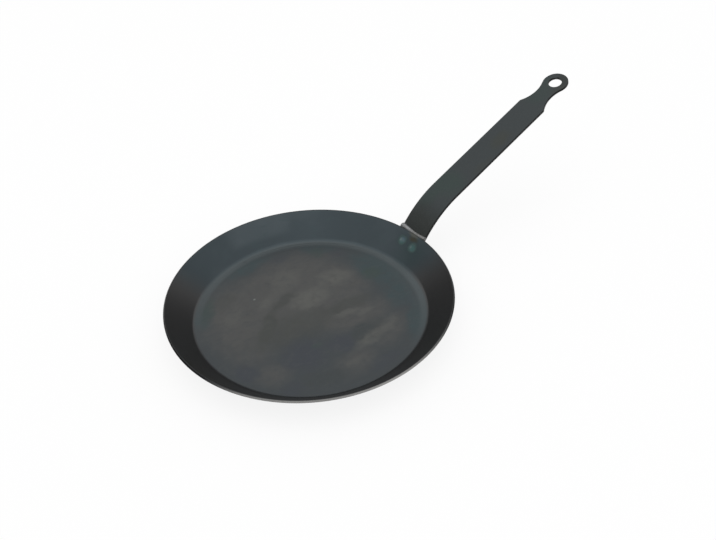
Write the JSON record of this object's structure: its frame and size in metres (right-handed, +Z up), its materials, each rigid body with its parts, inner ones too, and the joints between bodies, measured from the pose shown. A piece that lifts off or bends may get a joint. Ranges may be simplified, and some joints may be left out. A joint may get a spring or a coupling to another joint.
{
  "type": "crepe pan",
  "caption": "Shallow round steel crepe pan with a flat floor, a low flared wall and a long bent strip handle with a hanging eye.",
  "frame": {"origin": "centre of the flat base's underside, on the surface the pan stands on", "axes": "+X from the dish's centre along the handle towards its eye, +Z up out of the dish, +Y to the left of the handle"},
  "size_m": [0.4386, 0.2396, 0.1035],
  "materials": {
    "pan_steel": "blued carbon steel, satin, clouded brown on the floor, bare on the rim's cut edge",
    "handle_steel": "blued strip steel, satin",
    "weld_tint": "heat-tinted teal weld marks",
    "bare_weld": "bare dull grey weld metal"
  },
  "bodies": {
    "root": {"pan_body": "pan_steel", "handle": "handle_steel", "spot_welds": "weld_tint", "rim_weld": "bare_weld"}
  },
  "joints": []
}
